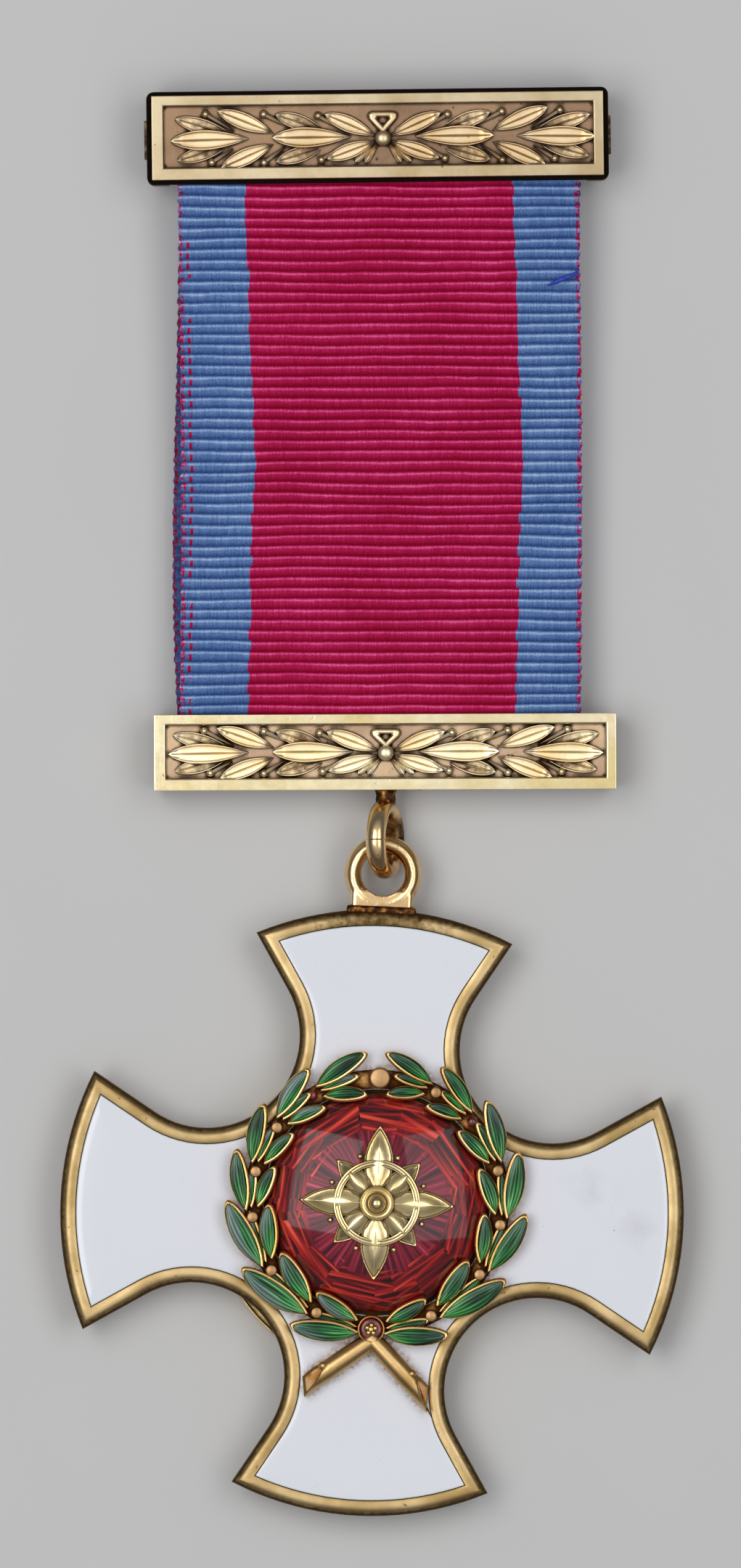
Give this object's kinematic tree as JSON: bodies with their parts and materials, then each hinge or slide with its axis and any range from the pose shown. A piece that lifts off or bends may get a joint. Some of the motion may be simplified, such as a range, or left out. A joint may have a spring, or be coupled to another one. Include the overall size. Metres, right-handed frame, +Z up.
{
  "type": "order insignia",
  "caption": "Enamelled gilt cross with a laurel wreath and red centre, hung by a ring from a laurel bar on a doubled ribbon below a brooch bar.",
  "frame": {"origin": "bottom centre of the bounding box, on the surface that the insignia lies on", "axes": "+X to the right as seen, +Y from the cross to the brooch bar, +Z up out of the face"},
  "size_m": [0.043, 0.0984, 0.0075],
  "materials": {
    "gilt": "polished gilding, brown in the recesses",
    "gilt_dull": "gilding dulled and toned by age",
    "ribbon": "ribbed watered silk, crimson with blue edges",
    "white_enamel": "glossy opaque enamel",
    "green_enamel": "glossy translucent enamel over engraving",
    "red_enamel": "glossy translucent enamel over engine turning"
  },
  "bodies": {
    "root": {"top_bar": "gilt_dull", "brooch_pin": "gilt_dull", "ribbon": "ribbon", "bottom_bar": "gilt", "cross_body": "gilt", "front_enamel": "white_enamel", "back_enamel": "white_enamel", "wreath": "gilt", "wreath_enamel_left": "green_enamel", "wreath_enamel_right": "green_enamel", "red_centre": "red_enamel", "centre_ornament": "gilt", "knot_enamel": "red_enamel"}
  },
  "joints": []
}
